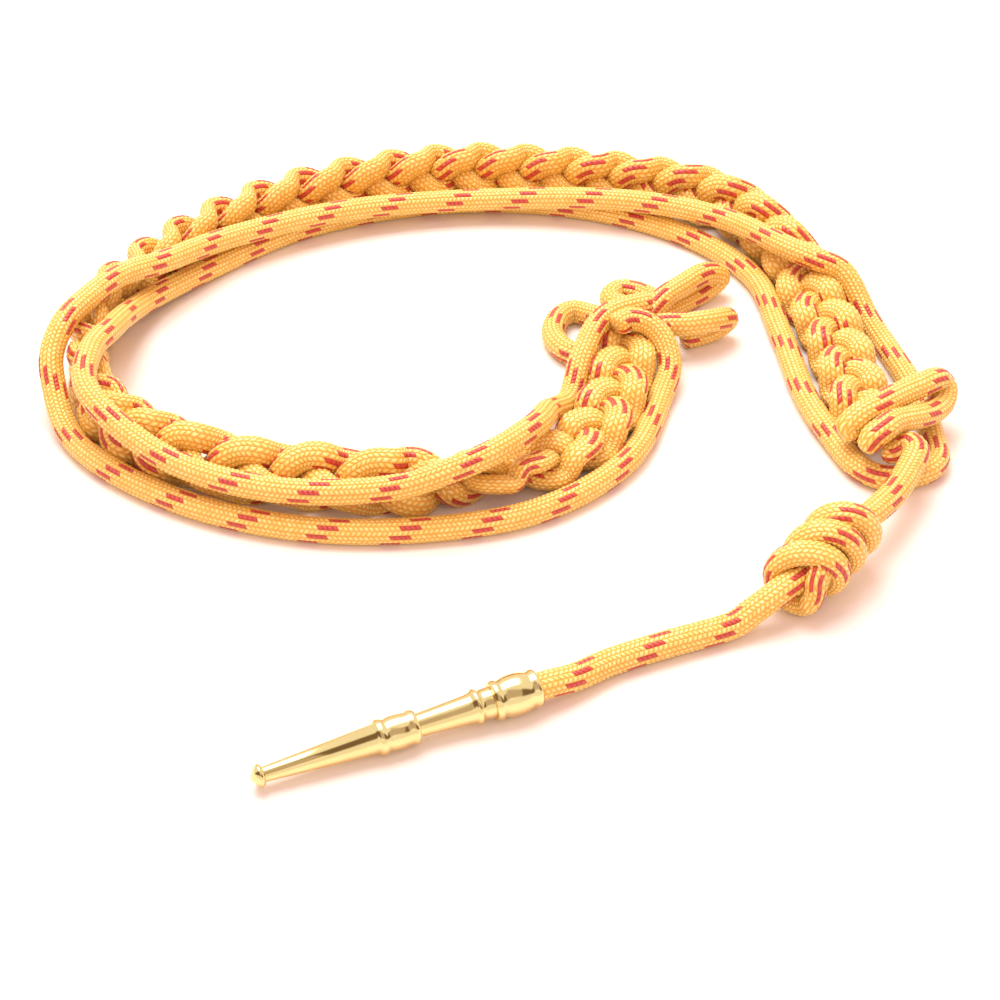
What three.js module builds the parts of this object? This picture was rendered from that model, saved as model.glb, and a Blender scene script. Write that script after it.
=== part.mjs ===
// A cord aiguillette as it lies on a table: a three-strand plait bent into an open C, one plain
// side cord that runs round it twice, the loops at both ends, a pendant cord with a barrel knot
// and a turned brass tip. Millimetres, +Z up, the table is z = 0.
import * as THREE from "three";

// Cord
const cordDiameter = 6;
const strandDiameter = 4.6; // a plaited strand, pressed thinner where it crosses the others
const cordSides = 8;
const clearance = 0.3; // between neighbours

// Plait
const plaitHalfWidth = 5.5; // from the middle of the plait to a strand at its edge
const plaitHalfDepth = 2.8; // from the middle of the plait to a strand that crosses on top
const edgeFlattening = 0.1;
const crossingSharpness = 2.5;
const stepsPerLobe = 3.6;

// Side cord, pendant and loops
const sideCordSteps = 82;
const shortCordStep = 5.5; // length of one step of a short cord

// Barrel knot
const knotCordDiameter = 5.2; // the cord is pressed thinner where it is wrapped
const knotPitch = 7.46; // from one wrap to the next
const knotSides = 8;
const knotStepsPerTurn = 12;
const knotCentre = [77.3, -31.55, 10.2]; // of the middle wrap
const knotAxis = [-4.6, -5.75, -1.2];
const wrapHeading = 252; // degrees: the way the wraps face, which isn't quite along the knot

// Brass tip
const tipLength = 67.6;
const tipSides = 20;
const ferruleLength = 11.2;
const ferruleRadius = 4.85;
const ferruleWall = 0.9;
const cordInsert = 8; // how deep the pendant cord goes into the ferrule
const neckRadius = 2.6;
const stemLength = 17.8; // from the ferrule to the joint with the point
const stemRadius = 4;
const spigotRadius = 2.1;
const spigotLength = 5.5;
const pointRadius = 4.15;
const endFlatRadius = 1;
const tipMouth = [8.5, -71.5, 5.05];
const tipEnd = [-53.9, -97.6, 3.45];

// The whole part is moved so that its box stands on the middle of its base.
const lieOffset = [1.4, -26.5, 0.28];

// Routes: [x, y, height of the cord's middle], chosen where the cords lie on each other.
const routes = {
  side_cord: [
    [30.8, 56.4, 13.3], [34.5, 58.9, 14.3], [39.5, 58.6, 13.6], [43.8, 55.8, 10.4], [45.8, 49.8, 5.8],
    [43, 39.5, 3], [32.5, 12, 3],
    [10, -7.5, 3], [-19, -15, 3], [-49, -14.5, 3], [-77.5, -5.5, 3], [-102.5, 11.3, 3],
    [-112.8, 24, 3.6], [-117.2, 34.5, 8.4], [-118.6, 42, 14.4], [-116, 51.5, 19], [-111, 62.5, 19.4],
    [-104.5, 75, 18],
    [-95.5, 86, 14.8], [-77.5, 107, 10], [-45, 124.5, 8], [-5, 132, 7], [37.5, 127.5, 9.5],
    [64, 116, 11], [82.5, 92, 15.4], [89, 87, 15.3], [96, 84.2, 13], [103, 73.5, 4],
    [110.6, 44.5, 3], [112.2, 30, 3], [112.6, 20, 3], [112.3, 12.7, 3], [109.6, 8.6, 3],
    [105, 6.2, 3], [100, 5.2, 3], [95.5, 6.2, 3], [91.3, 10.4, 3], [87, 20.8, 3], [81.8, 38.5, 3],
    [78, 68.5, 3], [72.5, 97.5, 3], [53, 120, 3], [20, 134.6, 3], [-20, 136, 3],
    [-58, 122.5, 3], [-83, 101.3, 3.3], [-99.5, 78, 7], [-104.3, 50.5, 16.8], [-107, 36.5, 19.6],
    [-105.5, 22, 18.4], [-84, 2, 12.4], [-56.5, -9.5, 11.5], [-27, -11, 13], [-13, -9, 16.5],
    [-1, -2.5, 18], [9.3, 11, 16], [11.6, 19, 13], [13.2, 26.5, 8.3], [18.5, 37.5, 3.5], [22, 49.5, 9],
    [28.5, 62, 13], [41.5, 69.5, 13],
  ],
  pendant_cord: [
    [97.5, 10.9, 7.8], [100.4, 9.4, 8.4], [103.5, 9.7, 10.4], [104.9, 6.3, 10.9],
    [101.8, -0.9, 9.9], [97.3, -8.8, 9.8], [92, -16.2, 10.8], [88.7, -19.7, 11],
    [84.3, -22.7, 11.2], [81.2, -27.2, 10.8], [76.8, -32.4, 9.9], [72.6, -37.3, 9.3],
    [66.3, -42.7, 8.5], [62.6, -45, 7], [59, -46.9, 5.2], [55.4, -48.9, 3.5], [52, -50.3, 3],
    [38.5, -55.5, 3], [25, -61.5, 3], [17, -67, 3.8], [10.3, -70.7, 5], [1.1, -74.6, 4.86],
  ],
  button_loop: [
    [91, 14.8, 9.2], [89.2, 15.2, 11.8], [92, 17, 14.2], [97.3, 20.4, 14.8],
    [102.6, 24.7, 14.6], [109.2, 28.9, 14.6], [112.6, 31.4, 14.4], [115.2, 33.2, 13.2],
    [116.2, 32.2, 10.8], [115.2, 28.9, 9.2], [111.6, 23.4, 10.1], [107, 18.9, 12],
    [100, 13.7, 14.4], [97.2, 10.9, 14.6], [94, 8.9, 13], [92.6, 8.8, 9.5],
  ],
  round_loop: [
    [34.1, 66.2, 8.1], [31.2, 72.5, 4.8], [26, 77, 3], [20.5, 79, 3], [17, 76.5, 3], [15, 71, 3], [15, 66.5, 3],
    [17.5, 61, 3], [22, 57.5, 3],
  ],
  small_loop: [
    [45, 83.2, 3.2], [39, 88.5, 3], [34, 89.3, 3], [31.5, 86, 3], [33, 82.5, 3], [36.5, 81.6, 3.5],
  ],
  upper_bight: [
    [39.5, 69.8, 6.5], [45, 75.8, 9.4], [50.5, 81.5, 9.6], [58, 88.5, 9.4], [62.5, 91.5, 6.2],
    [58.5, 89.5, 3.2], [44, 77.3, 2.9],
  ],
  lower_bight: [
    [39.5, 65, 7], [45, 64, 9], [51.5, 63.5, 9.6], [57, 65, 9.4], [63, 70.5, 6.3],
    [58.5, 69.5, 3.2], [50, 66, 3],
  ],
};

// Middle of the plait: [x, y, height, roll of its front face towards the inside of the C].
const plaitRoute = [
  [34.8, 59.5, 5.5, 0], [32, 43, 5.5, 0], [28.5, 30.5, 5.5, 0], [21.5, 16.5, 5.5, 0], [9, 7, 6, 9],
  [-4.5, 0.5, 7.5, 47], [-18.5, -2.5, 8, 104], [-33.5, -1.5, 7.5, 136], [-48, 0.5, 7.5, 144],
  [-63, 2.5, 7.5, 140], [-77, 7.5, 8, 132], [-90.5, 14.5, 8, 122], [-101.5, 24.5, 8, 109],
  [-108.5, 37.5, 8, 98], [-111.5, 52.5, 7.8, 94], [-111.5, 68, 7.8, 92], [-107, 83, 7.8, 91],
  [-90, 107.5, 7.8, 87], [-68, 127, 7.8, 84], [-41, 140, 7.8, 82], [-11.5, 146.5, 7.8, 80],
  [18, 144.5, 7.8, 80], [47.5, 138, 8, 76], [61.5, 132.5, 8, 66], [72.5, 122.5, 8, 53],
  [80, 109, 7.5, 42], [85.5, 95.5, 7, 29], [88, 80, 6, 17], [91, 66.5, 6, 8],
  [94.5, 37, 5.5, 0], [96, 21, 5.5, 0],
];

// How many lobes of one edge lie between the start and a distance along the plait, as a share
// of its length: the plait is looser on the near side of the C than on the far side.
const lobeCount = [
  { along: 0, lobes: 0 },
  { along: 0.176, lobes: 6.8 },
  { along: 0.284, lobes: 10.4 },
  { along: 0.429, lobes: 17 },
  { along: 0.608, lobes: 24 },
  { along: 0.852, lobes: 34 },
  { along: 1, lobes: 40.2 },
];

const cordMaterial = new THREE.MeshStandardMaterial({
  color: 0xf6c766,
  roughness: 0.62,
  metalness: 0,
});
const brassMaterial = new THREE.MeshStandardMaterial({
  color: 0xe2bf6a,
  roughness: 0.18,
  metalness: 1,
});

function namedMesh(name, geometry, material) {
  const mesh = new THREE.Mesh(geometry, material.clone());
  mesh.name = name;
  return mesh;
}

function routeCurve(points) {
  const knots = points.map(([x, y, z]) => new THREE.Vector3(x, y, z));
  return new THREE.CatmullRomCurve3(knots, false, "centripetal");
}

function roundSection(diameter, sides) {
  const section = new THREE.Shape();
  for (let side = 0; side < sides; side++) {
    const angle = (2 * Math.PI * (side + 0.5)) / sides;
    const x = (diameter / 2) * Math.cos(angle);
    const y = (diameter / 2) * Math.sin(angle);
    if (side === 0) section.moveTo(x, y);
    else section.lineTo(x, y);
  }
  section.closePath();
  return section;
}

function tube(curve, diameter, sides, steps) {
  const options = { steps, bevelEnabled: false, extrudePath: curve, curveSegments: 1 };
  return new THREE.ExtrudeGeometry(roundSection(diameter, sides), options);
}

// Linear reading of a table of rows between two of its columns.
function readTable(rows, from, to, value) {
  const next = Math.max(1, rows.findIndex((row) => row[from] >= value));
  const after = rows[value > rows[rows.length - 1][from] ? rows.length - 1 : next];
  const before = rows[rows.indexOf(after) - 1];
  const share = (value - before[from]) / (after[from] - before[from]);
  return before[to] + share * (after[to] - before[to]);
}

// One strand of the plait: a figure of eight about the plait's middle line, drawn out along it.
class StrandCurve extends THREE.Curve {
  constructor(axis, rolls, strand) {
    super();
    this.axis = axis;
    this.rolls = rolls;
    this.strand = strand;
    this.arcLengthDivisions = 1600;
  }

  getPoint(t) {
    const middle = this.axis.getPointAt(t);
    const tangent = this.axis.getTangentAt(t);
    const outward = new THREE.Vector3(-tangent.y, tangent.x, 0).normalize();
    const place = this.axis.getUtoTmapping(t) * (this.rolls.length - 1);
    const station = Math.min(Math.floor(place), this.rolls.length - 2);
    const roll = THREE.MathUtils.degToRad(
      THREE.MathUtils.lerp(this.rolls[station], this.rolls[station + 1], place - station),
    );
    const lobes = readTable(lobeCount, "along", "lobes", t);
    const turn = (2 * Math.PI * (lobes - this.strand)) / 3 + Math.PI / 2;
    const across = plaitHalfWidth * (Math.sin(turn) + edgeFlattening * Math.sin(3 * turn));
    const rise = Math.tanh(crossingSharpness * Math.sin(2 * turn));
    const depth = (plaitHalfDepth * rise) / Math.tanh(crossingSharpness);
    const sideways = across * Math.cos(roll) - depth * Math.sin(roll);
    const upward = across * Math.sin(roll) + depth * Math.cos(roll);
    return middle.addScaledVector(outward, sideways).add(new THREE.Vector3(0, 0, upward));
  }
}

function makePlait() {
  const group = new THREE.Group();
  const axis = routeCurve(plaitRoute);
  axis.arcLengthDivisions = 1200;
  const rolls = plaitRoute.map((station) => station[3]);
  const steps = Math.round(lobeCount[lobeCount.length - 1].lobes * stepsPerLobe);
  for (let strand = 0; strand < 3; strand++) {
    const curve = new StrandCurve(axis, rolls, strand);
    const geometry = tube(curve, strandDiameter, cordSides, steps);
    group.add(namedMesh("plait_strand_" + (strand + 1), geometry, cordMaterial));
  }
  return group;
}

function makeCord(name, steps) {
  const curve = routeCurve(routes[name]);
  curve.arcLengthDivisions = 1200;
  const count = steps ?? Math.ceil(curve.getLength() / shortCordStep);
  return namedMesh(name, tube(curve, cordDiameter, cordSides, count), cordMaterial);
}

// The wraps of the knot, by turns from the top of the first one. Advance counts pitches, and side
// and up are shares of the radius at which a wrap just clears the pendant cord.
const wrapShape = [
  { turn: -0.5, advance: -0.5, side: 1.2, up: 1.1 },
  { turn: -0.25, advance: -0.25, side: 1.15, up: 1.05 },
  { turn: 0, advance: 0, side: 1.01, up: 1 },
  { turn: 0.5, advance: 0.5, side: 1.1, up: 1.03 },
  { turn: 1, advance: 1, side: 1.14, up: 1.12 },
  { turn: 1.5, advance: 1.5, side: 1.2, up: 1.04 },
  { turn: 2, advance: 2, side: 1.16, up: 1.02 },
  { turn: 2.25, advance: 2.25, side: 1.27, up: 1.02 },
  { turn: 2.38, advance: 2.38, side: 1.25, up: 1 },
  { turn: 2.5, advance: 2.55, side: 1.02, up: 0.95 },
  { turn: 2.7, advance: 2.8, side: 0.84, up: 0.88 },
];

class KnotCurve extends THREE.Curve {
  constructor(radius) {
    super();
    const heading = THREE.MathUtils.degToRad(wrapHeading);
    this.radius = radius;
    this.centre = new THREE.Vector3(...knotCentre);
    this.along = new THREE.Vector3(...knotAxis).normalize();
    this.up = new THREE.Vector3(0, 0, 1);
    this.side = new THREE.Vector3(Math.sin(heading), -Math.cos(heading), 0);
  }

  getPoint(t) {
    const first = wrapShape[0].turn;
    const last = wrapShape[wrapShape.length - 1].turn;
    const turn = THREE.MathUtils.lerp(first, last, t);
    const angle = 2 * Math.PI * turn;
    const advance = readTable(wrapShape, "turn", "advance", turn) - 1;
    const sideways = this.radius * readTable(wrapShape, "turn", "side", turn);
    const upwards = this.radius * readTable(wrapShape, "turn", "up", turn);
    return this.centre
      .clone()
      .addScaledVector(this.along, advance * knotPitch)
      .addScaledVector(this.up, upwards * Math.cos(angle))
      .addScaledVector(this.side, sideways * Math.sin(angle));
  }
}

function makeKnot() {
  const radius = cordDiameter / 2 + clearance + knotCordDiameter / 2;
  const turns = wrapShape[wrapShape.length - 1].turn - wrapShape[0].turn;
  const steps = Math.round(turns * knotStepsPerTurn);
  const geometry = tube(new KnotCurve(radius), knotCordDiameter, knotSides, steps);
  return namedMesh("barrel_knot", geometry, cordMaterial);
}

function turned(profile) {
  const points = profile.map(([along, radius]) => new THREE.Vector2(radius, along));
  return new THREE.LatheGeometry(points, tipSides);
}

// Profile tables: along as a share of the piece's length, radius as a share of its radius.
function profileOf(rows, start, length, radius) {
  return rows.map((row) => [start + row.along * length, row.radius * radius]);
}

const ferruleShape = [
  { along: 0, radius: 0.84 },
  { along: 0.05, radius: 0.93 },
  { along: 0.14, radius: 0.95 },
  { along: 0.2, radius: 0.88 },
  { along: 0.3, radius: 0.93 },
  { along: 0.48, radius: 1 },
  { along: 0.68, radius: 0.98 },
  { along: 0.83, radius: 0.9 },
  { along: 0.86, radius: 0.96 },
  { along: 0.96, radius: 0.97 },
  { along: 1, radius: 0.9 },
];

const stemShape = [
  { along: 0.12, radius: 0.9 },
  { along: 0.15, radius: 0.98 },
  { along: 0.22, radius: 1 },
  { along: 0.25, radius: 0.86 },
  { along: 0.29, radius: 0.9 },
  { along: 0.32, radius: 0.86 },
  { along: 1, radius: 0.66 },
];

const pointShape = [
  { along: 0, radius: 0.88 },
  { along: 0.015, radius: 0.97 },
  { along: 0.045, radius: 0.97 },
  { along: 0.06, radius: 0.88 },
  { along: 0.12, radius: 0.97 },
  { along: 0.18, radius: 0.91 },
  { along: 0.195, radius: 0.99 },
  { along: 0.235, radius: 1 },
  { along: 0.25, radius: 0.82 },
  { along: 0.92, radius: 0.42 },
  { along: 0.925, radius: 0.64 },
  { along: 0.945, radius: 0.66 },
];

function makeTip() {
  const group = new THREE.Group();
  const mouth = new THREE.Vector3(...tipMouth);
  const end = new THREE.Vector3(...tipEnd);
  const heading = end.clone().sub(mouth).normalize();
  group.position.copy(mouth);
  group.quaternion.setFromUnitVectors(new THREE.Vector3(0, 1, 0), heading);

  const boreRadius = Math.min(cordDiameter / 2 + clearance, ferruleRadius - ferruleWall);
  const boreEnd = cordInsert + clearance;
  const neckBore = neckRadius + clearance;
  const ferrule = [
    [ferruleLength, neckBore],
    [boreEnd, neckBore],
    [boreEnd, boreRadius],
    [0, boreRadius],
    ...profileOf(ferruleShape, 0, ferruleLength, ferruleRadius),
    [ferruleLength, neckBore],
  ];
  group.add(namedMesh("tip_ferrule", turned(ferrule), brassMaterial));

  const stemEnd = ferruleLength + stemLength;
  const stem = [
    [boreEnd + clearance, 0],
    [boreEnd + clearance, neckRadius],
    [ferruleLength + 0.12 * stemLength, neckRadius],
    ...profileOf(stemShape, ferruleLength, stemLength, stemRadius),
    [stemEnd, spigotRadius],
    [stemEnd + spigotLength, spigotRadius],
    [stemEnd + spigotLength, 0],
  ];
  group.add(namedMesh("tip_stem", turned(stem), brassMaterial));

  const pointStart = stemEnd + clearance;
  const pointLength = tipLength - pointStart;
  const socketEnd = stemEnd + spigotLength + clearance;
  const point = [
    [socketEnd, 0],
    [socketEnd, spigotRadius + clearance],
    [pointStart, spigotRadius + clearance],
    ...profileOf(pointShape, pointStart, pointLength, pointRadius),
    [tipLength, endFlatRadius],
    [tipLength, 0],
  ];
  group.add(namedMesh("tip_point", turned(point), brassMaterial));
  return group;
}

const aiguillette = new THREE.Group();
aiguillette.add(makePlait());
aiguillette.add(makeCord("side_cord", sideCordSteps));
aiguillette.add(makeCord("pendant_cord"));
aiguillette.add(makeCord("button_loop"));
aiguillette.add(makeCord("round_loop"));
aiguillette.add(makeCord("small_loop"));
aiguillette.add(makeCord("upper_bight"));
aiguillette.add(makeCord("lower_bight"));
aiguillette.add(makeKnot());
aiguillette.add(makeTip());
aiguillette.position.set(...lieOffset);

export default aiguillette;
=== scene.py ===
import math

import bmesh
import bpy
import numpy as np
from mathutils import Matrix, Vector


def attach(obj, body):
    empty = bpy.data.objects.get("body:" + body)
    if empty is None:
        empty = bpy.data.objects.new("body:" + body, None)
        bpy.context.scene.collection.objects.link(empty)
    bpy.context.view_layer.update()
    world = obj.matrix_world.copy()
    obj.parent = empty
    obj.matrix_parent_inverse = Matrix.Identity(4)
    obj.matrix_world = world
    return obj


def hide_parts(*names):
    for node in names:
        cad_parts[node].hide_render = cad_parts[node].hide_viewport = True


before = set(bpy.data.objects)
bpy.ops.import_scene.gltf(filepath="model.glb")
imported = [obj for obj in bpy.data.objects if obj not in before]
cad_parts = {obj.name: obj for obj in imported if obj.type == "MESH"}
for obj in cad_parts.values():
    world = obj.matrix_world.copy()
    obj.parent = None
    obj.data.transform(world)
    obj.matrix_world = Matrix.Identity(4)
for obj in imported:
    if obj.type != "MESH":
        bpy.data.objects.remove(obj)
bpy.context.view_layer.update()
print("frame loaded:", len(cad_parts), "solids")

# The routes and places below are given on the table, and this moves them into the frame.
lay = {
    "shift": (0.0014, -0.0265, 0.00028),
}


def newObject(name, data):
    obj = bpy.data.objects.new(name, data)
    bpy.context.scene.collection.objects.link(obj)
    return obj


# The photo's viewpoint
camera = {
    "place": (0.0, -0.39758, 0.33361),
    "lens": 73.8,  # mm
    "sensor": 36,  # mm wide
    "pitch": 50,  # degrees up from looking straight down
    "near": 0.01,
    "far": 10,
}


def placeCamera():
    data = bpy.data.cameras.new("camera")
    data.lens = camera["lens"]
    data.sensor_width = camera["sensor"]
    data.clip_start = camera["near"]
    data.clip_end = camera["far"]
    obj = newObject("camera", data)
    obj.location = Vector(camera["place"]) + Vector(lay["shift"])
    obj.rotation_euler = (math.radians(camera["pitch"]), 0, 0)
    bpy.context.scene.camera = obj


def unit(vectors):
    return vectors / np.linalg.norm(vectors, axis=-1, keepdims=True)


# A smooth line through the points: a centripetal Catmull-Rom spline, sampled many times a span.
def smoothLine(points, perSpan=40):
    p = np.array(points, float)
    p = np.vstack([2 * p[0] - p[1], p, 2 * p[-1] - p[-2]])
    line = []
    for i in range(1, len(p) - 2):
        a, b, c, d = p[i - 1 : i + 3]
        ab, bc, cd = (math.sqrt(np.linalg.norm(q[:3])) for q in (b - a, c - b, d - c))
        start = ((b - a) / ab - (c - a) / (ab + bc) + (c - b) / bc) * bc
        end = ((c - b) / bc - (d - b) / (bc + cd) + (d - c) / cd) * bc
        t = np.linspace(0, 1, perSpan, endpoint=False)[:, None]
        line.append(
            b
            + t * start
            + t**2 * (3 * (c - b) - 2 * start - end)
            + t**3 * (2 * (b - c) + start + end)
        )
    return np.vstack([*line, p[-2]])


def lengthsAlong(line):
    steps = np.linalg.norm(np.diff(line[:, :3], axis=0), axis=1)
    return np.concatenate([[0], np.cumsum(steps)])


# The same line again, with its points a given distance apart.
def evenly(line, step):
    along = lengthsAlong(line)
    count = max(2, round(along[-1] / step) + 1)
    places = np.linspace(0, along[-1], count)
    return np.stack([np.interp(places, along, column) for column in line.T], axis=1)


# Two directions square to the line that turn with it and never about it.
def carriedFrame(line):
    tangents = unit(np.gradient(line, axis=0))
    side = np.cross(tangents[0], (0, 0, 1))
    sides = []
    for tangent in tangents:
        side = side - tangent * side.dot(tangent)
        side = side / np.linalg.norm(side)
        sides.append(side)
    sides = np.array(sides)
    return sides, np.cross(tangents, sides)


# The braided cord
braid = {
    "diameter": 0.006,
    "fullness": 1.07,  # the beads stand proud of the cord's own diameter
    "wales": 16,  # rows of beads round the cord
    "beadLength": 0.00125,
    "ringsPerBead": 3,
    "lean": 0.5,  # how many beads a yarn slants by in crossing one wale
    "waleRelief": 0.05,  # share of the radius between the middle and the edge of a wale
    "beadRelief": 0.05,
    "middleHeight": 0.6,  # a bead's mean height, which lies at the stated width
    "endRounding": 1.6,  # beads over which a cord's end is drawn in
    "endOpening": 0.04,  # square of the share of the radius that the end's cap has
    "tracerRepeat": 16,  # beads along one turn of the red tracer
    "tracerBeads": 4,
    "shortest": 6,  # diameters: a shorter piece doesn't count as a free cord
    "pathEvery": 4,
}


# A flat sheet of braid wrapped round the line, and pressed from the width to the thickness along
# one direction. The sheet's map runs once round the cord in U and counts beads along it in V.
def braidedTube(name, line, width, thickness, flatAlong):
    along = lengthsAlong(line)
    centres = evenly(line, braid["beadLength"] / braid["ringsPerBead"])
    rings = len(centres)
    beads = (rings - 1) / braid["ringsPerBead"]
    around = 2 * braid["wales"]
    sides, ups = carriedFrame(centres)
    bm = bmesh.new()
    bm.loops.layers.uv.new("UVMap")
    bmesh.ops.create_grid(
        bm, x_segments=around, y_segments=rings - 1, size=0.5, calc_uvs=True
    )
    mesh = bpy.data.meshes.new(name)
    bm.to_mesh(mesh)
    bm.free()
    flat = np.zeros(len(mesh.vertices) * 3, np.float32)
    mesh.vertices.foreach_get("co", flat)
    flat = flat.reshape(-1, 3)
    turn = flat[:, 0] + 0.5
    ring = np.rint((flat[:, 1] + 0.5) * (rings - 1)).astype(int)
    bead = ring / (rings - 1) * beads
    wale = turn * braid["wales"]
    lean = braid["lean"] * (2 * (np.floor(wale) % 2) - 1)
    inWale = np.sin(np.pi * (wale % 1.0))
    onBead = np.abs(np.sin(np.pi * (bead + lean * (wale % 1.0))))
    relief = braid["waleRelief"] * (inWale - braid["middleHeight"])
    relief += braid["beadRelief"] * inWale * (onBead - braid["middleHeight"])
    radius = width / 2 * (1 + relief)
    toEnd = np.minimum(ring, rings - 1 - ring) / braid["ringsPerBead"]
    drawnIn = 1 - np.clip(toEnd / braid["endRounding"], 0, 1)
    radius *= np.sqrt(np.clip(1 - drawnIn**2, braid["endOpening"], 1))
    angle = 2 * np.pi * turn
    arm = np.cos(angle)[:, None] * sides[ring] + np.sin(angle)[:, None] * ups[ring]
    arm *= radius[:, None]
    places = np.linspace(0, along[-1], rings)
    square = np.stack([np.interp(places, along, column) for column in flatAlong.T], axis=1)
    tangents = np.cross(sides, ups)
    square -= tangents * (square * tangents).sum(axis=1)[:, None]
    square = unit(square)[ring]
    depth = (arm * square).sum(axis=1)[:, None]
    arm += square * depth * (thickness / width - 1)
    mesh.vertices.foreach_set("co", (centres[ring] + arm).astype(np.float32).ravel())
    uv = mesh.uv_layers["UVMap"].data
    values = np.zeros(len(uv) * 2, np.float32)
    uv.foreach_get("uv", values)
    values[1::2] *= beads
    uv.foreach_set("uv", values)
    bm = bmesh.new()
    bm.from_mesh(mesh)
    bmesh.ops.remove_doubles(bm, verts=[v for v in bm.verts if v.is_boundary], dist=1e-7)
    rims = [e for e in bm.edges if e.is_boundary]
    bmesh.ops.holes_fill(bm, edges=rims, sides=0)
    bmesh.ops.recalc_face_normals(bm, faces=bm.faces)
    for face in bm.faces:
        face.smooth = True
    bm.to_mesh(mesh)
    bm.free()
    print(name, "measures", round(float(lengthsAlong(centres)[-1]), 4), "m")
    return newObject(name, mesh), centres


def shifted(points):
    p = np.array(points, float)
    p[:, :3] += np.array(lay["shift"])
    return p


# Every finished piece rides on the one body and stands for its solid.
def finish(obj, material, node):
    obj.data.materials.append(material)
    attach(obj, "root")
    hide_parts(node)


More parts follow.
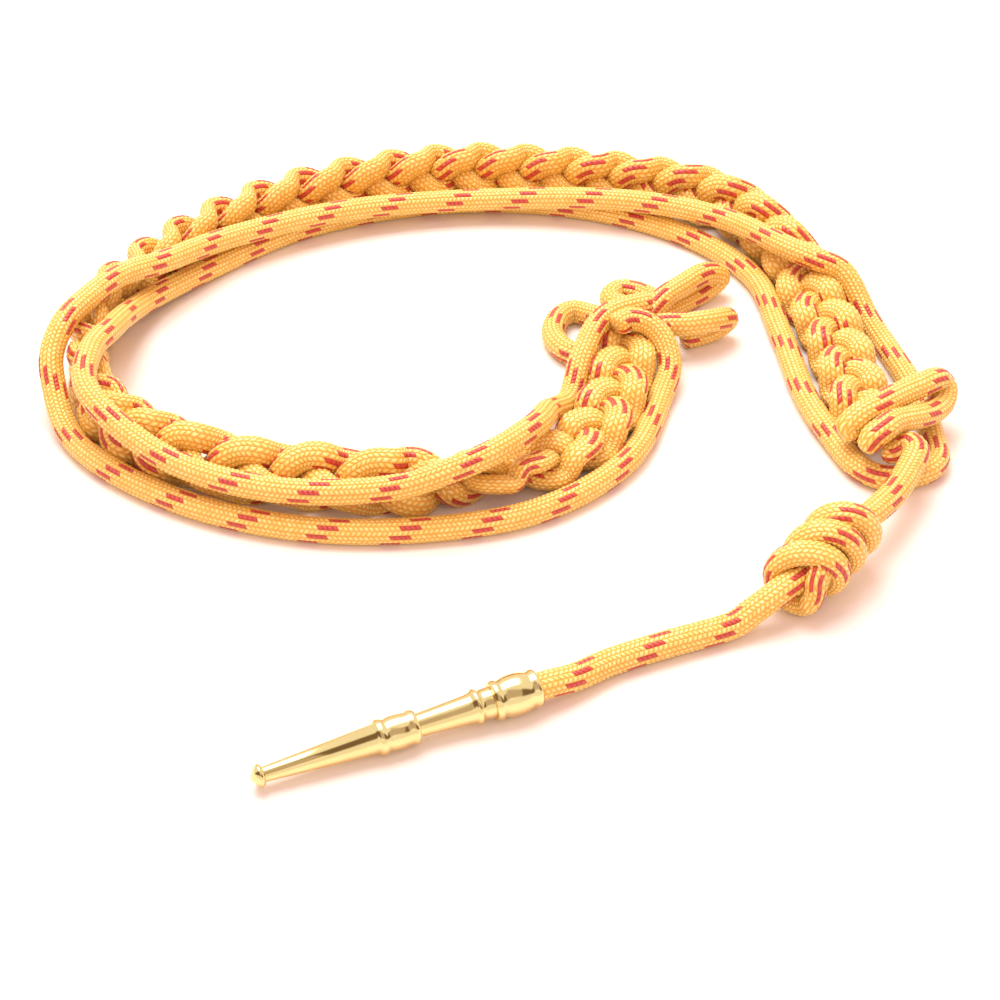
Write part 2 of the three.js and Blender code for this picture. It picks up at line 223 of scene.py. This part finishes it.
# Cords that lie free, with routes of x, y and the height of the cord's middle. Pressed gives the
# width and thickness of a flattened cord, as shares.
cords = {
    "side_cord": {
        "length": 1.201,
        "route": [
            (0.0308, 0.0564, 0.0133), (0.0345, 0.0589, 0.0143), (0.0395, 0.0586, 0.0136),
            (0.0438, 0.0558, 0.0104), (0.0458, 0.0498, 0.0058), (0.043, 0.0395, 0.003),
            (0.0325, 0.012, 0.003), (0.01, -0.0075, 0.003), (-0.019, -0.015, 0.003),
            (-0.049, -0.0145, 0.003), (-0.0775, -0.0055, 0.003), (-0.1025, 0.0113, 0.003),
            (-0.1128, 0.024, 0.0036), (-0.1172, 0.0345, 0.0084), (-0.1186, 0.042, 0.0144),
            (-0.116, 0.0515, 0.019), (-0.111, 0.0625, 0.0194), (-0.1045, 0.075, 0.018),
            (-0.0955, 0.086, 0.0148), (-0.0775, 0.107, 0.01), (-0.045, 0.1245, 0.008),
            (-0.005, 0.132, 0.007), (0.0375, 0.1275, 0.0095), (0.064, 0.116, 0.011),
            (0.0825, 0.092, 0.0154), (0.089, 0.087, 0.0153), (0.096, 0.0842, 0.013),
            (0.103, 0.0735, 0.004), (0.1106, 0.0445, 0.003), (0.1122, 0.03, 0.003),
            (0.1126, 0.02, 0.003), (0.1123, 0.0127, 0.003), (0.1096, 0.0086, 0.003),
            (0.105, 0.0062, 0.003), (0.1, 0.0052, 0.003), (0.0955, 0.0062, 0.003),
            (0.0913, 0.0104, 0.003), (0.087, 0.0208, 0.003), (0.0818, 0.0385, 0.003),
            (0.078, 0.0685, 0.003), (0.0725, 0.0975, 0.003), (0.053, 0.12, 0.003),
            (0.02, 0.1346, 0.003), (-0.02, 0.136, 0.003), (-0.058, 0.1225, 0.003),
            (-0.083, 0.1013, 0.0033), (-0.0995, 0.078, 0.007), (-0.1043, 0.0505, 0.0168),
            (-0.107, 0.0365, 0.0196), (-0.1055, 0.022, 0.0184), (-0.084, 0.002, 0.0124),
            (-0.0565, -0.0095, 0.0115), (-0.027, -0.011, 0.013), (-0.013, -0.009, 0.0165),
            (-0.001, -0.0025, 0.018), (0.0093, 0.011, 0.016), (0.0116, 0.019, 0.013),
            (0.0132, 0.0265, 0.0083), (0.0185, 0.0375, 0.0035), (0.022, 0.0495, 0.009),
            (0.0285, 0.062, 0.013), (0.0415, 0.0695, 0.013),
        ],
    },
    "pendant_cord": {
        "length": 0.149,
        "pressed": (1.06, 0.94),
        "route": [
            (0.0975, 0.0109, 0.0078), (0.1004, 0.0094, 0.0084), (0.1035, 0.0097, 0.0104),
            (0.1049, 0.0063, 0.0109), (0.1018, -0.0009, 0.0099), (0.0973, -0.0088, 0.0098),
            (0.092, -0.0162, 0.0108), (0.0887, -0.0197, 0.011), (0.0843, -0.0227, 0.0112),
            (0.0812, -0.0272, 0.0108), (0.0768, -0.0324, 0.0099), (0.0726, -0.0373, 0.0093),
            (0.0663, -0.0427, 0.0085), (0.0626, -0.045, 0.007), (0.059, -0.0469, 0.0052),
            (0.0554, -0.0489, 0.0035), (0.052, -0.0503, 0.003), (0.0385, -0.0555, 0.003),
            (0.025, -0.0615, 0.003), (0.017, -0.067, 0.0038), (0.0103, -0.0707, 0.005),
            (0.0011, -0.0746, 0.00486),
        ],
    },
    "button_loop": {
        "length": 0.077,
        "pressed": (1.12, 0.9),
        "route": [
            (0.091, 0.0148, 0.0092), (0.0892, 0.0152, 0.0118), (0.092, 0.017, 0.0142),
            (0.0973, 0.0204, 0.0148), (0.1026, 0.0247, 0.0146), (0.1092, 0.0289, 0.0146),
            (0.1126, 0.0314, 0.0144), (0.1152, 0.0332, 0.0132), (0.1162, 0.0322, 0.0108),
            (0.1152, 0.0289, 0.0092), (0.1116, 0.0234, 0.0101), (0.107, 0.0189, 0.012),
            (0.1, 0.0137, 0.0144), (0.0972, 0.0109, 0.0146), (0.094, 0.0089, 0.013),
            (0.0926, 0.0088, 0.0095),
        ],
    },
    "round_loop": {
        "length": 0.048,
        "route": [
            (0.0341, 0.0662, 0.0081), (0.0312, 0.0725, 0.0048), (0.026, 0.077, 0.003),
            (0.0205, 0.079, 0.003), (0.017, 0.0765, 0.003), (0.015, 0.071, 0.003),
            (0.015, 0.0665, 0.003), (0.0175, 0.061, 0.003), (0.022, 0.0575, 0.003),
        ],
    },
    "small_loop": {
        "length": 0.025,
        "route": [
            (0.045, 0.0832, 0.0032), (0.039, 0.0885, 0.003), (0.034, 0.0893, 0.003),
            (0.0315, 0.086, 0.003), (0.033, 0.0825, 0.003), (0.0365, 0.0816, 0.0035),
        ],
    },
    "upper_bight": {
        "length": 0.058,
        "route": [
            (0.0395, 0.0698, 0.0065), (0.045, 0.0758, 0.0094), (0.0505, 0.0815, 0.0096),
            (0.058, 0.0885, 0.0094), (0.0625, 0.0915, 0.0062), (0.0585, 0.0895, 0.0032),
            (0.044, 0.0773, 0.0029),
        ],
    },
    "lower_bight": {
        "length": 0.042,
        "route": [
            (0.0395, 0.065, 0.007), (0.045, 0.064, 0.009), (0.0515, 0.0635, 0.0096),
            (0.057, 0.065, 0.0094), (0.063, 0.0705, 0.0063), (0.0585, 0.0695, 0.0032),
            (0.05, 0.066, 0.003),
        ],
    },
}


def makeCords():
    made = {}
    for node, cord in cords.items():
        line = smoothLine(shifted(cord["route"]))
        width, thickness = cord.get("pressed", (1, 1))
        full = braid["diameter"] * braid["fullness"]
        upright = np.tile((0, 0, 1.0), (len(line), 1))
        obj, centres = braidedTube(node + "_braid", line, full * width, full * thickness, upright)
        finish(obj, sheath, node)
        made[node] = (obj, centres)
    return made


# Three strands plaited, each a figure of eight about the plait's middle line. The route gives x,
# y, height and roll in degrees, and lobes counts the crossings up to each share of its length.
plait = {
    "step": 0.0005,  # between the points of the middle line
    "halfWidth": 0.0055,
    "halfDepth": 0.0028,
    "edgeFlattening": 0.1,
    "crossingSharpness": 2.0,
    "strandWidth": 0.0073,
    "strandThickness": 0.0049,
    "route": [
        (0.0356, 0.0634, 0.0060, 0), (0.032, 0.043, 0.0055, 0), (0.0285, 0.0305, 0.0055, 0),
        (0.0215, 0.0165, 0.0055, 0), (0.009, 0.007, 0.006, 9), (-0.0045, 0.0005, 0.0075, 47),
        (-0.0185, -0.0025, 0.008, 104), (-0.0335, -0.0015, 0.0075, 136),
        (-0.048, 0.0005, 0.0075, 144), (-0.063, 0.0025, 0.0075, 140), (-0.077, 0.0075, 0.008, 132),
        (-0.0905, 0.0145, 0.008, 122), (-0.1015, 0.0245, 0.008, 109),
        (-0.1085, 0.0375, 0.008, 98), (-0.1115, 0.0525, 0.0078, 94), (-0.1115, 0.068, 0.0078, 92),
        (-0.107, 0.083, 0.0078, 91), (-0.09, 0.1075, 0.0078, 87), (-0.068, 0.127, 0.0078, 84),
        (-0.041, 0.14, 0.0078, 82), (-0.0115, 0.1465, 0.0078, 80), (0.018, 0.1445, 0.0078, 80),
        (0.0475, 0.138, 0.008, 76), (0.0615, 0.1325, 0.008, 66), (0.0725, 0.1225, 0.008, 53),
        (0.08, 0.109, 0.0075, 42), (0.0855, 0.0955, 0.007, 29), (0.088, 0.08, 0.006, 17),
        (0.091, 0.0665, 0.006, 8), (0.0945, 0.037, 0.0055, 0), (0.096, 0.021, 0.0055, 0),
    ],
    "lobesAlong": [0, 0.176, 0.284, 0.429, 0.608, 0.852, 1],
    "lobes": [0, 6.8, 10.4, 17, 24, 34, 40.2],
}


def strandLine(strand):
    axis = evenly(smoothLine(shifted(plait["route"])), plait["step"])
    along = lengthsAlong(axis)
    tangent = np.gradient(axis[:, :2], axis=0)
    outward = unit(np.stack([-tangent[:, 1], tangent[:, 0]], axis=1))
    lobes = np.interp(along / along[-1], plait["lobesAlong"], plait["lobes"])
    turn = 2 * np.pi * (lobes - strand) / 3 + np.pi / 2
    across = plait["halfWidth"] * (np.sin(turn) + plait["edgeFlattening"] * np.sin(3 * turn))
    sharp = plait["crossingSharpness"]
    depth = plait["halfDepth"] * np.tanh(sharp * np.sin(2 * turn)) / math.tanh(sharp)
    roll = np.radians(axis[:, 3])
    sideways = across * np.cos(roll) - depth * np.sin(roll)
    upward = across * np.sin(roll) + depth * np.cos(roll)
    line = axis[:, :3].copy()
    line[:, :2] += outward * sideways[:, None]
    line[:, 2] += upward
    square = np.column_stack([-outward * np.sin(roll)[:, None], np.cos(roll)])
    return line, square


def makePlait():
    for strand in range(3):
        node = "plait_strand_" + str(strand + 1)
        line, square = strandLine(strand)
        obj = braidedTube(
            node + "_braid", line, plait["strandWidth"], plait["strandThickness"], square
        )[0]
        finish(obj, sheath, node)


# The barrel knot: each row gives the turns from the top of the first wrap, how many pitches the
# cord has come along, and how far it runs from the middle at its side and at its top.
knot = {
    "pitch": 0.00746,
    "width": 0.0071,
    "thickness": 0.0052,
    "centre": (0.0773, -0.03155, 0.0102),
    "axis": (-4.6, -5.75, -1.2),
    "wrapHeading": 252,  # degrees
    "samples": 500,
    "shape": [
        (-0.5, -0.5, 0.0068, 0.0064), (-0.25, -0.25, 0.0062, 0.0062), (0, 0, 0.0059, 0.0059),
        (0.5, 0.5, 0.0065, 0.0061), (1, 1, 0.0067, 0.0066), (1.5, 1.5, 0.0066, 0.0061),
        (2, 2, 0.0068, 0.006), (2.25, 2.25, 0.007, 0.006), (2.5, 2.55, 0.006, 0.0056),
        (2.68, 2.8, 0.0049, 0.0052), (2.8, 2.6, 0.0046, 0.0048), (2.9, 1.9, 0.0046, 0.0036),
    ],
}


def makeKnot():
    along = unit(np.array(knot["axis"], float))
    heading = math.radians(knot["wrapHeading"])
    side = np.array((math.sin(heading), -math.cos(heading), 0))
    up = np.array((0, 0, 1.0))
    shape = np.array(knot["shape"])
    turns = np.linspace(shape[0, 0], shape[-1, 0], knot["samples"])
    advance, sideways, upwards = (np.interp(turns, shape[:, 0], shape[:, k]) for k in (1, 2, 3))
    angle = 2 * np.pi * turns
    across = np.outer(sideways * np.sin(angle), side) + np.outer(upwards * np.cos(angle), up)
    centre = np.array(knot["centre"]) + np.array(lay["shift"])
    line = centre + np.outer((advance - 1) * knot["pitch"], along) + across
    obj = braidedTube(
        "barrel_knot_braid", line, knot["width"], knot["thickness"], unit(across)
    )[0]
    finish(obj, sheath, "barrel_knot")


# The turned brass tip: each profile gives the distance from the mouth and the radius.
tip = {
    "mouth": (0.0085, -0.0715, 0.00505),
    "end": (-0.0539, -0.0976, 0.00345),
    "segments": 96,
    "sharpFrom": 50,  # degrees: a steeper edge than this stays crisp
    "mergeWithin": 1e-6,
    "ferrule": [
        (0.0112, 0.0029), (0.0083, 0.0029), (0.0083, 0.0033), (0, 0.0033),
        (0, 0.0040), (0.0004, 0.0044), (0.0009, 0.0045), (0.0015, 0.0044), (0.0019, 0.0042),
        (0.0023, 0.00425), (0.0027, 0.0044), (0.0038, 0.0047), (0.0052, 0.00485),
        (0.0066, 0.00482), (0.008, 0.0046), (0.0092, 0.0043), (0.0096, 0.00455), (0.0101, 0.00468),
        (0.0107, 0.0046), (0.0112, 0.0043), (0.0112, 0.0029),
    ],
    "stem": [
        (0.0086, 0), (0.0086, 0.0026), (0.0111, 0.0026), (0.01122, 0.0036), (0.0117, 0.00365),
        (0.0126, 0.0036), (0.0135, 0.00355), (0.0142, 0.0036), (0.0145, 0.004), (0.015, 0.0042),
        (0.0155, 0.0041), (0.0159, 0.0037), (0.0164, 0.0035), (0.0172, 0.0034), (0.02, 0.0032),
        (0.029, 0.0027), (0.029, 0.0021), (0.0345, 0.0021), (0.0345, 0),
    ],
    "point": [
        (0.0348, 0), (0.0348, 0.0024), (0.0293, 0.0024), (0.0293, 0.0036), (0.0297, 0.0039),
        (0.0303, 0.004), (0.0309, 0.0039), (0.0313, 0.0037), (0.032, 0.00385), (0.034, 0.004),
        (0.0355, 0.0039), (0.0364, 0.0037), (0.0368, 0.0039), (0.0374, 0.00412), (0.0382, 0.00412),
        (0.0388, 0.0038), (0.0391, 0.0034), (0.0646, 0.00175), (0.0649, 0.0024), (0.0655, 0.0027),
        (0.0659, 0.0026), (0.0666, 0.0018), (0.0674, 0.0006), (0.0676, 0),
    ],
}


# One piece of the tip: its profile spun round the tip's own axis
def makeTurned(part):
    node = "tip_" + part
    bm = bmesh.new()
    verts = [bm.verts.new((radius, 0, along)) for along, radius in tip[part]]
    for pair in zip(verts, verts[1:]):
        bm.edges.new(pair)
    bmesh.ops.remove_doubles(bm, verts=bm.verts, dist=tip["mergeWithin"])
    bmesh.ops.spin(
        bm, geom=bm.verts[:] + bm.edges[:], cent=(0, 0, 0), axis=(0, 0, 1),
        angle=2 * math.pi, steps=tip["segments"], use_merge=True,
    )
    bmesh.ops.remove_doubles(bm, verts=bm.verts, dist=tip["mergeWithin"])
    bmesh.ops.recalc_face_normals(bm, faces=bm.faces)
    mouth = Vector(tip["mouth"]) + Vector(lay["shift"])
    heading = Vector(tip["end"]) - Vector(tip["mouth"])
    turn = heading.to_track_quat("Z", "Y").to_matrix().to_4x4()
    bmesh.ops.transform(bm, matrix=Matrix.Translation(mouth) @ turn, verts=bm.verts)
    for face in bm.faces:
        face.smooth = True
    for edge in bm.edges:
        edge.smooth = edge.calc_face_angle(0) < math.radians(tip["sharpFrom"])
    mesh = bpy.data.meshes.new(node + "_turned")
    bm.to_mesh(mesh)
    bm.free()
    finish(newObject(node + "_turned", mesh), brass, node)


# Small helpers for node trees
def mathNode(tree, operation, a, b=None, clamp=False):
    node = tree.nodes.new("ShaderNodeMath")
    node.operation = operation
    node.use_clamp = clamp
    for socket, value in zip(node.inputs, (a, b)):
        if value is None:
            continue
        if isinstance(value, (int, float)):
            socket.default_value = value
        else:
            tree.links.new(value, socket)
    return node.outputs[0]


def mixColour(tree, share, first, second):
    node = tree.nodes.new("ShaderNodeMix")
    node.data_type = "RGBA"
    for place, value in ((0, share), (6, first), (7, second)):  # factor and the two colours
        if isinstance(value, tuple):
            node.inputs[place].default_value = value
        else:
            tree.links.new(value, node.inputs[place])
    return node.outputs[2]


def addBump(tree, height, strength, distance):
    bump = tree.nodes.new("ShaderNodeBump")
    bump.inputs["Strength"].default_value = strength
    bump.inputs["Distance"].default_value = distance
    tree.links.new(height, bump.inputs["Height"])
    tree.links.new(bump.outputs["Normal"], tree.nodes["Principled BSDF"].inputs["Normal"])


# The yarn of the sheath
yarn = {
    "colours": {
        # painted highlight: the pale colour given to the top of each bead
        "Painted Highlight": (1.0, 0.86, 0.36, 1),
        "Yarn": (0.96, 0.66, 0.115, 1),
        # painted shade: the darker colour of the low parts between the beads
        "Painted Groove Shade": (0.86, 0.40, 0.045, 1),
        "Tracer": (0.70, 0.07, 0.05, 1),
        # painted shade: the darker colour of the low parts of the red tracer
        "Tracer Painted Shade": (0.42, 0.03, 0.02, 1),
    },
    "dome": 0.55,
    "paintedHighlight": 5.0,  # the higher, the smaller the painted highlight on each bead
    "shade": 0.2,  # how far one bead is lighter or darker than another
    "fibres": 4,  # fine lines along each bead
    "fibreHeight": 0.03,
    "bump": 0.00025,
    "roughness": 0.3,
    "gloss": 0.7,
    "sheen": 0.15,
    "sheenRoughness": 0.4,
    "sheenTint": (1, 0.85, 0.5, 1),
}


# A half wave over one bead or wale, flattened on top by a power below 1
def domeNode(tree, share):
    wave = mathNode(tree, "SINE", mathNode(tree, "MULTIPLY", share, math.pi))
    return mathNode(tree, "POWER", wave, yarn["dome"])


# The braid's pattern from a map that runs once round the cord in U and counts beads in V: even
# wales lean one way, odd wales the other, and the red tracer shows in the even ones.
def braidGroup():
    group = bpy.data.node_groups.new("braidPattern", "ShaderNodeTree")
    sockets = group.interface
    sockets.new_socket("Map", in_out="INPUT", socket_type="NodeSocketVector")
    for label in yarn["colours"]:
        sockets.new_socket(label, in_out="INPUT", socket_type="NodeSocketColor")
    sockets.new_socket("Color", in_out="OUTPUT", socket_type="NodeSocketColor")
    sockets.new_socket("Height", in_out="OUTPUT", socket_type="NodeSocketFloat")
    source = group.nodes.new("NodeGroupInput")
    out = group.nodes.new("NodeGroupOutput")
    split = group.nodes.new("ShaderNodeSeparateXYZ")
    group.links.new(source.outputs["Map"], split.inputs[0])
    wale = mathNode(group, "MULTIPLY", split.outputs[0], float(braid["wales"]))
    inWale = mathNode(group, "FRACT", wale)
    waleNumber = mathNode(group, "FLOOR", wale)
    odd = mathNode(group, "MODULO", waleNumber, 2.0)
    side = mathNode(group, "SUBTRACT", mathNode(group, "MULTIPLY", odd, 2.0), 1.0)
    lean = mathNode(group, "MULTIPLY", mathNode(group, "MULTIPLY", inWale, side), braid["lean"])
    slanted = mathNode(group, "ADD", split.outputs[1], lean)
    inBead = mathNode(group, "FRACT", slanted)
    beadNumber = mathNode(group, "FLOOR", slanted)
    # how high the yarn stands: a dome along the bead and across the wale
    height = mathNode(group, "MULTIPLY", domeNode(group, inBead), domeNode(group, inWale))
    lines = mathNode(group, "MULTIPLY", slanted, 2 * math.pi * yarn["fibres"])
    fibre = mathNode(group, "MULTIPLY", mathNode(group, "SINE", lines), yarn["fibreHeight"])
    fineHeight = mathNode(group, "ADD", height, fibre)
    # the tracer's yarns come round once in each repeat, one bead further on in each wale
    stepped = mathNode(group, "ADD", beadNumber, waleNumber)
    place = mathNode(group, "FLOORED_MODULO", stepped, float(braid["tracerRepeat"]))
    isTracer = mathNode(group, "LESS_THAN", place, float(braid["tracerBeads"]))
    tracer = mathNode(group, "MULTIPLY", isTracer, mathNode(group, "SUBTRACT", 1.0, odd))
    # each yarn is a little lighter or darker than the next
    noise = group.nodes.new("ShaderNodeTexWhiteNoise")
    noise.noise_dimensions = "2D"
    pair = group.nodes.new("ShaderNodeCombineXYZ")
    group.links.new(beadNumber, pair.inputs[0])
    group.links.new(waleNumber, pair.inputs[1])
    group.links.new(pair.outputs[0], noise.inputs["Vector"])
    uneven = mathNode(group, "SUBTRACT", noise.outputs["Value"], 0.5)
    shade = mathNode(group, "MULTIPLY", uneven, yarn["shade"])
    lit = mathNode(group, "ADD", height, shade, clamp=True)
    # painted highlight: the highest part of each bead is mixed towards the pale colour
    paintedHighlight = mathNode(group, "POWER", lit, yarn["paintedHighlight"])
    # painted shade: the lower the yarn stands, the more its colour goes to the darker one; the
    # noise adds each yarn's own tone
    yellow = mixColour(group, lit, source.outputs["Painted Groove Shade"], source.outputs["Yarn"])
    yellow = mixColour(group, paintedHighlight, yellow, source.outputs["Painted Highlight"])
    # painted shade on the red tracer, by the same height
    red = mixColour(group, lit, source.outputs["Tracer Painted Shade"], source.outputs["Tracer"])
    group.links.new(mixColour(group, tracer, yellow, red), out.inputs["Color"])
    group.links.new(fineHeight, out.inputs["Height"])
    return group


def sheathMaterial():
    material = bpy.data.materials.new("braidedYarn")
    material.use_nodes = True
    tree = material.node_tree
    shader = tree.nodes["Principled BSDF"]
    uv = tree.nodes.new("ShaderNodeUVMap")
    uv.uv_map = "UVMap"
    pattern = tree.nodes.new("ShaderNodeGroup")
    pattern.node_tree = braidGroup()
    for label, colour in yarn["colours"].items():
        pattern.inputs[label].default_value = colour
    tree.links.new(uv.outputs["UV"], pattern.inputs["Map"])
    tree.links.new(pattern.outputs["Color"], shader.inputs["Base Color"])
    addBump(tree, pattern.outputs["Height"], 1, yarn["bump"])
    shader.inputs["Roughness"].default_value = yarn["roughness"]
    shader.inputs["Specular IOR Level"].default_value = yarn["gloss"]
    shader.inputs["Sheen Weight"].default_value = yarn["sheen"]
    shader.inputs["Sheen Roughness"].default_value = yarn["sheenRoughness"]
    shader.inputs["Sheen Tint"].default_value = yarn["sheenTint"]
    return material


# Polished brass, faintly clouded and scratched
polish = {
    "deep": (0.90, 0.66, 0.28, 1),
    "pale": (0.95, 0.75, 0.38, 1),
    "roughness": 0.08,
    "dulling": 0.08,  # roughness that the clouds add
    "clouds": {"Scale": 180, "Detail": 4},
    "scratches": {"Scale": 900, "Detail": 2},
    "scratchStrength": 0.15,
    "scratchDepth": 0.00005,
}


def noiseNode(tree, place, settings):
    node = tree.nodes.new("ShaderNodeTexNoise")
    for label, value in settings.items():
        node.inputs[label].default_value = value
    tree.links.new(place.outputs["Object"], node.inputs["Vector"])
    return node.outputs["Fac"]


def brassMaterial():
    material = bpy.data.materials.new("polishedBrass")
    material.use_nodes = True
    tree = material.node_tree
    shader = tree.nodes["Principled BSDF"]
    shader.inputs["Metallic"].default_value = 1
    place = tree.nodes.new("ShaderNodeTexCoord")
    clouds = noiseNode(tree, place, polish["clouds"])
    colour = mixColour(tree, clouds, polish["deep"], polish["pale"])
    tree.links.new(colour, shader.inputs["Base Color"])
    dulling = mathNode(tree, "MULTIPLY", clouds, polish["dulling"])
    rough = mathNode(tree, "ADD", dulling, polish["roughness"])
    tree.links.new(rough, shader.inputs["Roughness"])
    scratches = noiseNode(tree, place, polish["scratches"])
    addBump(tree, scratches, polish["scratchStrength"], polish["scratchDepth"])
    return material


table = {
    "height": 0.00028,
    "halfWidth": 3,
    "colour": (0.9, 0.89, 0.89, 1),
    "roughness": 0.6,
    "gloss": 0.2,
}


def makeTable():
    bm = bmesh.new()
    bmesh.ops.create_grid(bm, x_segments=2, y_segments=2, size=table["halfWidth"])
    bmesh.ops.translate(bm, verts=bm.verts, vec=(0, 0, table["height"]))
    mesh = bpy.data.meshes.new("table")
    bm.to_mesh(mesh)
    bm.free()
    material = bpy.data.materials.new("paleTable")
    material.use_nodes = True
    shader = material.node_tree.nodes["Principled BSDF"]
    shader.inputs["Base Color"].default_value = table["colour"]
    shader.inputs["Roughness"].default_value = table["roughness"]
    shader.inputs["Specular IOR Level"].default_value = table["gloss"]
    mesh.materials.append(material)
    newObject("table", mesh)


# Two soft lights, and a sky that is even and warm
lights = {
    "key": {"place": (-0.15, 0.4, 1.0), "size": 0.8, "power": 13.0, "colour": (1, 1, 1)},
    "fill": {"place": (0.2, -0.7, 0.8), "size": 0.9, "power": 1.0, "colour": (1, 0.95, 0.9)},
    "sky": {
        "strength": 1.05,
        "warm": (1, 0.68, 0.58, 1),  # what the cords and the table get
        "clear": (0.95, 0.93, 0.88, 1),  # what gloss and metal mirror
        "dark": (0.20, 0.13, 0.08, 1),  # the dim side of the room
        "darkWay": (0, -0.574, 0.819),
        "darkFrom": 0.88,
        "darkTo": 0.97,
    },
}


# Gloss and metal mirror a clear sky with one dim side. The x of the way is dropped, so that side
# is a band.
def makeSky():
    sky = lights["sky"]
    world = bpy.data.worlds.new("studio")
    world.use_nodes = True
    tree = world.node_tree
    background = tree.nodes["Background"]
    place = tree.nodes.new("ShaderNodeTexCoord")
    way = place.outputs["Generated"]
    for operation, second in (
        ("MULTIPLY", (0, 1, 1)), ("NORMALIZE", (0, 0, 0)), ("DOT_PRODUCT", sky["darkWay"])
    ):
        facing = tree.nodes.new("ShaderNodeVectorMath")
        facing.operation = operation
        facing.inputs[1].default_value = second
        tree.links.new(way, facing.inputs[0])
        way = facing.outputs[0]
    edge = tree.nodes.new("ShaderNodeMapRange")
    edge.interpolation_type = "SMOOTHSTEP"
    edge.inputs["From Min"].default_value = sky["darkFrom"]
    edge.inputs["From Max"].default_value = sky["darkTo"]
    tree.links.new(facing.outputs["Value"], edge.inputs["Value"])
    mirrored = mixColour(tree, edge.outputs["Result"], sky["clear"], sky["dark"])
    path = tree.nodes.new("ShaderNodeLightPath")
    colour = mixColour(tree, path.outputs["Is Glossy Ray"], sky["warm"], mirrored)
    tree.links.new(colour, background.inputs["Color"])
    background.inputs["Strength"].default_value = sky["strength"]
    bpy.context.scene.world = world


def makeLights():
    for name in ("key", "fill"):
        light = lights[name]
        data = bpy.data.lights.new(name, "AREA")
        data.size = light["size"]
        data.energy = light["power"]
        data.color = light["colour"]
        obj = newObject(name, data)
        obj.location = light["place"]
        obj.rotation_euler = (-Vector(light["place"])).to_track_quat("-Z", "Y").to_euler()
    bpy.context.scene.view_settings.view_transform = "Standard"


placeCamera()
sheath = sheathMaterial()
brass = brassMaterial()
cordPieces = makeCords()
print("cords laid:", len(cordPieces))
makePlait()
print("plait made")
makeKnot()
print("knot tied")
for part in ("ferrule", "stem", "point"):
    makeTurned(part)
print("tip turned")

for node, (obj, centres) in cordPieces.items():
    length = cords[node]["length"]
    if length < braid["shortest"] * braid["diameter"]:
        continue
makeTable()
makeSky()
makeLights()
print("table and lights in place")
